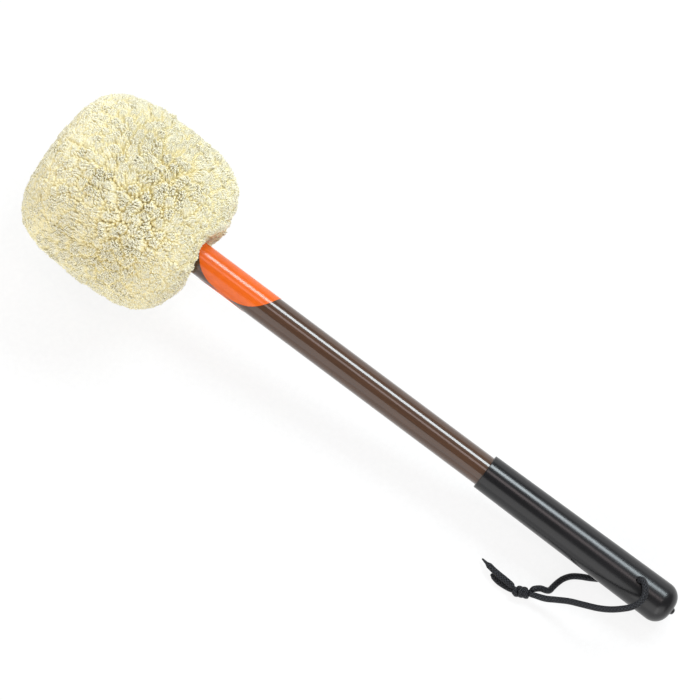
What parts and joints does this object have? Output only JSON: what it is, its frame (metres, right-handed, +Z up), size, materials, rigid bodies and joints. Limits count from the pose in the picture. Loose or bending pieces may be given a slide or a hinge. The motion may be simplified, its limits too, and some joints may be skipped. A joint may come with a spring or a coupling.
{
  "type": "gong mallet",
  "caption": "Gong mallet: large drum-shaped fleece head on a lacquered wooden shaft, moulded vinyl grip and a knotted wrist cord through the grip.",
  "frame": {"origin": "on the table, under the middle of the mallet without its cord, with the mallet lying on its head's side and on the cord under its grip", "axes": "+X along the mallet from the head to the grip's end, +Z up from the table; the wrist cord lies on the -Y side"},
  "size_m": [0.4552, 0.1098, 0.112],
  "materials": {
    "fleece": "cream knitted-back pile fleece, matt",
    "felt": "pressed wool felt",
    "thread": "waxed thread",
    "bare_wood": "bare turned hardwood",
    "lacquered_wood": "brown gloss lacquer",
    "zinc_steel": "zinc plated",
    "sticker_film": "gloss printed film, blank",
    "grip_vinyl": "dip-moulded vinyl, soft gloss",
    "cord_braid": "fine braided cord, satin"
  },
  "bodies": {
    "mallet": {"shaft": "lacquered_wood", "head_core": "bare_wood", "core_screw": "zinc_steel", "screw_washer": "zinc_steel", "felt_wrap": "felt", "felt_front_disc": "felt", "felt_rear_disc": "felt", "fleece_side_band": "fleece", "fleece_front_disc": "fleece", "fleece_rear_disc": "fleece", "neck_drawstring": "thread", "shaft_sticker": "sticker_film", "grip_sleeve": "grip_vinyl", "cord_through_run": "cord_braid"},
    "wrist_loop": {"cord_front_leg": "cord_braid", "cord_rear_leg": "cord_braid", "cord_knot": "cord_braid", "cord_upper_tail": "cord_braid", "cord_lower_tail": "cord_braid"}
  },
  "joints": [
    {"name": "loop_swing", "type": "hinge", "parent": "mallet", "child": "wrist_loop", "pos_m": [0.19866, 0, 0.01669], "axis": [0, 0, 1], "range_deg": [-12, 118]}
  ]
}
